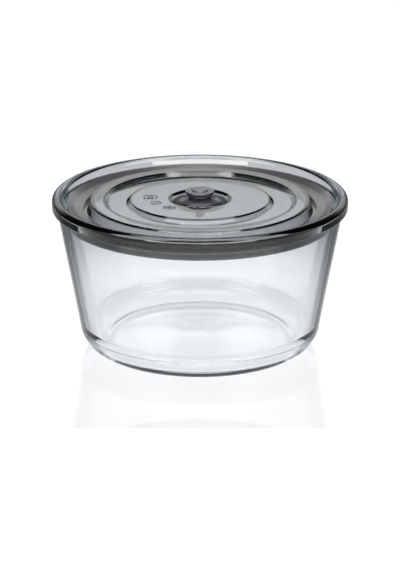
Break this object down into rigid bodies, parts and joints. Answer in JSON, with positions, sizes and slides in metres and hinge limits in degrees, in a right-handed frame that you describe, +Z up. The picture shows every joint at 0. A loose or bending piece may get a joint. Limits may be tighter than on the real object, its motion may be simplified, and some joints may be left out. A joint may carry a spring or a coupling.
{
  "type": "glass food container",
  "caption": "Round tapered glass food container with a rim bead, closed by a see-through smoked lid with a silicone seal ring and a pull-up silicone air valve.",
  "frame": {"origin": "middle of the standing ring's contact plane, under the axis of the bowl", "axes": "+Z up along the axis that every piece turns about, +Y away from the viewer, +X to the right"},
  "size_m": [0.215, 0.215, 0.1179],
  "materials": {
    "clear_glass": "clear pressed glass with a faint blue-green edge tint, fire polished",
    "smoked_plastic": "glossy see-through smoked grey moulding",
    "seal_silicone": "satin grey silicone with a faint mauve cast",
    "valve_silicone": "satin dark grey silicone"
  },
  "bodies": {
    "bowl": {"glass_bowl": "clear_glass"},
    "lid": {"lid": "smoked_plastic", "seal_ring": "seal_silicone"},
    "valve": {"valve": "valve_silicone"}
  },
  "joints": [
    {"name": "lid_lift", "type": "slide", "parent": "bowl", "child": "lid", "axis": [0, 0, 1], "range_m": [0, 0.06]},
    {"name": "valve_lift", "type": "slide", "parent": "lid", "child": "valve", "axis": [0, 0, 1], "range_m": [0, 0.003]}
  ]
}
